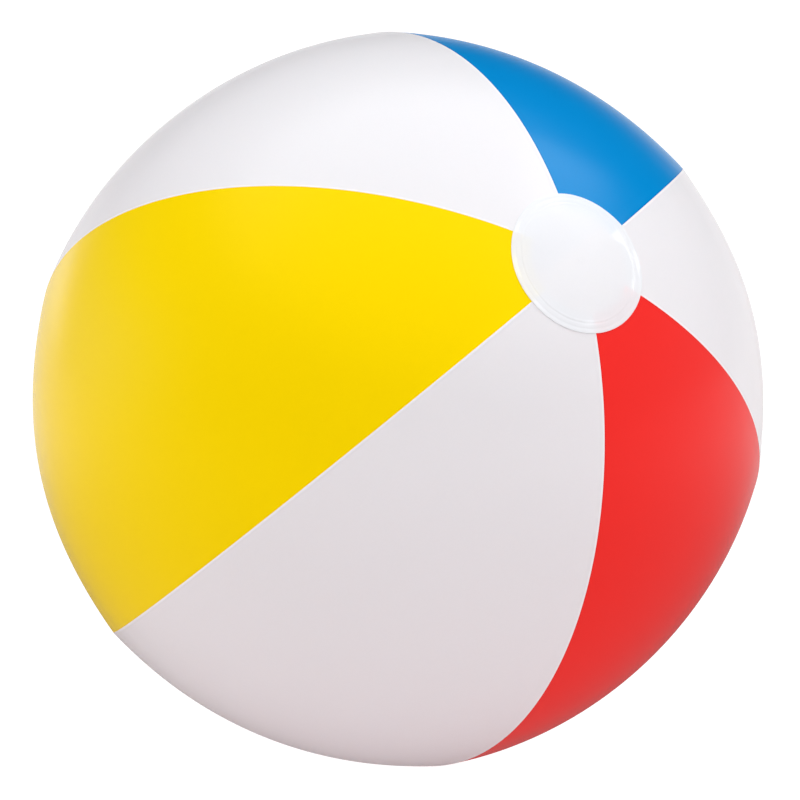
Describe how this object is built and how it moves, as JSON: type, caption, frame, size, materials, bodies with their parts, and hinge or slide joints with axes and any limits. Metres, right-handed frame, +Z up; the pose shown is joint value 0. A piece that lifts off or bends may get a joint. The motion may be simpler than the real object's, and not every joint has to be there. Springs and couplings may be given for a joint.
{
  "type": "inflatable beach ball",
  "caption": "Inflatable vinyl beach ball of coloured and white panels welded pole to pole, with round pole discs and a push-in air valve closed by a plug on a strap.",
  "frame": {"origin": "centre of the ball", "axes": "+Z up with the ball lying on level ground; the polar axis lies in the YZ plane, its plain pole towards -Y and 30 degrees above the horizon, its valve towards +Y and 30 degrees below"},
  "size_m": [0.334, 0.3366, 0.3388],
  "materials": {
    "white_vinyl": "gloss",
    "yellow_vinyl": "gloss",
    "red_vinyl": "gloss",
    "blue_vinyl": "gloss",
    "disc_vinyl": "gloss",
    "valve_vinyl": "satin"
  },
  "bodies": {
    "ball": {"white_top_panel": "white_vinyl", "yellow_panel": "yellow_vinyl", "white_bottom_panel": "white_vinyl", "red_panel": "red_vinyl", "white_right_panel": "white_vinyl", "blue_panel": "blue_vinyl", "front_pole_disc": "disc_vinyl", "valve_pole_disc": "disc_vinyl", "valve_flange": "valve_vinyl", "valve_collar": "valve_vinyl"},
    "stem": {"valve_stem": "valve_vinyl", "plug_strap": "valve_vinyl"},
    "plug": {"valve_plug": "valve_vinyl"},
    "flap": {"check_flap": "valve_vinyl"}
  },
  "joints": [
    {"name": "stem_slide", "type": "slide", "parent": "ball", "child": "stem", "axis": [0, 0.866, -0.5], "range_m": [0, 0.013], "stiffness_N_per_m": 30, "deforming": ["valve_collar"]},
    {"name": "plug_swing", "type": "hinge", "parent": "stem", "child": "plug", "pos_m": [0.0004, 0.15155, -0.07596], "axis": [0.9992, -0.0201, -0.0348], "range_deg": [0, 160], "deforming": ["plug_strap"]},
    {"name": "flap_swing", "type": "hinge", "parent": "stem", "child": "flap", "pos_m": [-0.0002, 0.12838, -0.07994], "axis": [0.9992, -0.0201, -0.0348], "range_deg": [0, 65], "stiffness_Nm_per_rad": 0.0005}
  ]
}
